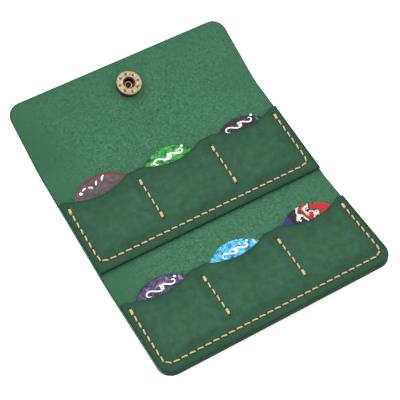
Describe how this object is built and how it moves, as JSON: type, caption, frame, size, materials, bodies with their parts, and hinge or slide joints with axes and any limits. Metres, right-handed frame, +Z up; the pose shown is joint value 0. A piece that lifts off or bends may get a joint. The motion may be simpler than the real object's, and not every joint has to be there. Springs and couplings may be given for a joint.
{
  "type": "pick holder",
  "caption": "Leather wallet for guitar picks: a long sheet folds in three round two rows of scalloped, stitched pockets with picks in them, and a snap holds the flap shut.",
  "frame": {"origin": "middle of the centre panel's underside, halfway between the two fold lines, on the surface that the open wallet lies on", "axes": "+X along the folds, +Y from the lower pockets to the flap, +Z up through the open wallet"},
  "size_m": [0.105, 0.1385, 0.0115],
  "materials": {
    "sheet_leather": "green, suede inside and smooth grain outside",
    "pocket_leather": "dark green smooth grain, soft satin",
    "waxed_thread": "golden tan twisted and waxed",
    "antique_brass": "antique brass, dark in the recesses",
    "spring_steel": "bright wire",
    "upper_left_pick": "charcoal with a red rim, satin plastic",
    "upper_middle_pick": "green pearl, glossy plastic",
    "upper_right_pick": "black pearl, glossy plastic",
    "lower_left_pick": "purple pearl, glossy plastic",
    "lower_middle_pick": "light blue pearl, glossy plastic",
    "lower_right_pick": "red, white, black and blue patches, glossy plastic"
  },
  "bodies": {
    "centre_panel": {"centre_leather": "sheet_leather", "flap_fold_leather": "sheet_leather", "lower_fold_leather": "sheet_leather", "upper_pocket_panel": "pocket_leather", "upper_edge_stitching": "waxed_thread", "upper_left_divider_stitching": "waxed_thread", "upper_right_divider_stitching": "waxed_thread"},
    "flap": {"flap_leather": "sheet_leather", "snap_cap": "antique_brass", "snap_socket": "antique_brass", "snap_spring": "spring_steel"},
    "lower_panel": {"lower_leather": "sheet_leather", "lower_pocket_panel": "pocket_leather", "lower_edge_stitching": "waxed_thread", "lower_left_divider_stitching": "waxed_thread", "lower_right_divider_stitching": "waxed_thread", "snap_stud": "antique_brass", "stud_rivet": "antique_brass"},
    "upper_left_pick": {"upper_left_pick": "upper_left_pick"},
    "upper_middle_pick": {"upper_middle_pick": "upper_middle_pick"},
    "upper_right_pick": {"upper_right_pick": "upper_right_pick"},
    "lower_left_pick": {"lower_left_pick": "lower_left_pick"},
    "lower_middle_pick": {"lower_middle_pick": "lower_middle_pick"},
    "lower_right_pick": {"lower_right_pick": "lower_right_pick"}
  },
  "joints": [
    {"name": "flap_fold", "type": "hinge", "parent": "centre_panel", "child": "flap", "pos_m": [0, 0.02871, 0.0068], "axis": [1, 0, 0], "range_deg": [-15.5, 164.5], "deforming": ["flap_fold_leather"]},
    {"name": "lower_fold", "type": "hinge", "parent": "centre_panel", "child": "lower_panel", "pos_m": [0, -0.02928, 0.004], "axis": [-1, 0, 0], "range_deg": [-8, 172], "deforming": ["lower_fold_leather"]},
    {"name": "upper_left_pick_slide", "type": "slide", "parent": "centre_panel", "child": "upper_left_pick", "axis": [0, -1, 0], "range_m": [-0.009, 0.0035]},
    {"name": "upper_middle_pick_slide", "type": "slide", "parent": "centre_panel", "child": "upper_middle_pick", "axis": [0, -1, 0], "range_m": [-0.009, 0.0035]},
    {"name": "upper_right_pick_slide", "type": "slide", "parent": "centre_panel", "child": "upper_right_pick", "axis": [0, -1, 0], "range_m": [-0.009, 0.0022]},
    {"name": "lower_left_pick_slide", "type": "slide", "parent": "lower_panel", "child": "lower_left_pick", "axis": [0, -0.9903, 0.1392], "range_m": [-0.0055, 0.0035]},
    {"name": "lower_middle_pick_slide", "type": "slide", "parent": "lower_panel", "child": "lower_middle_pick", "axis": [0, -0.9903, 0.1392], "range_m": [-0.0055, 0.0035]},
    {"name": "lower_right_pick_slide", "type": "slide", "parent": "lower_panel", "child": "lower_right_pick", "axis": [0, -0.9903, 0.1392], "range_m": [-0.0055, 0.0035]}
  ]
}
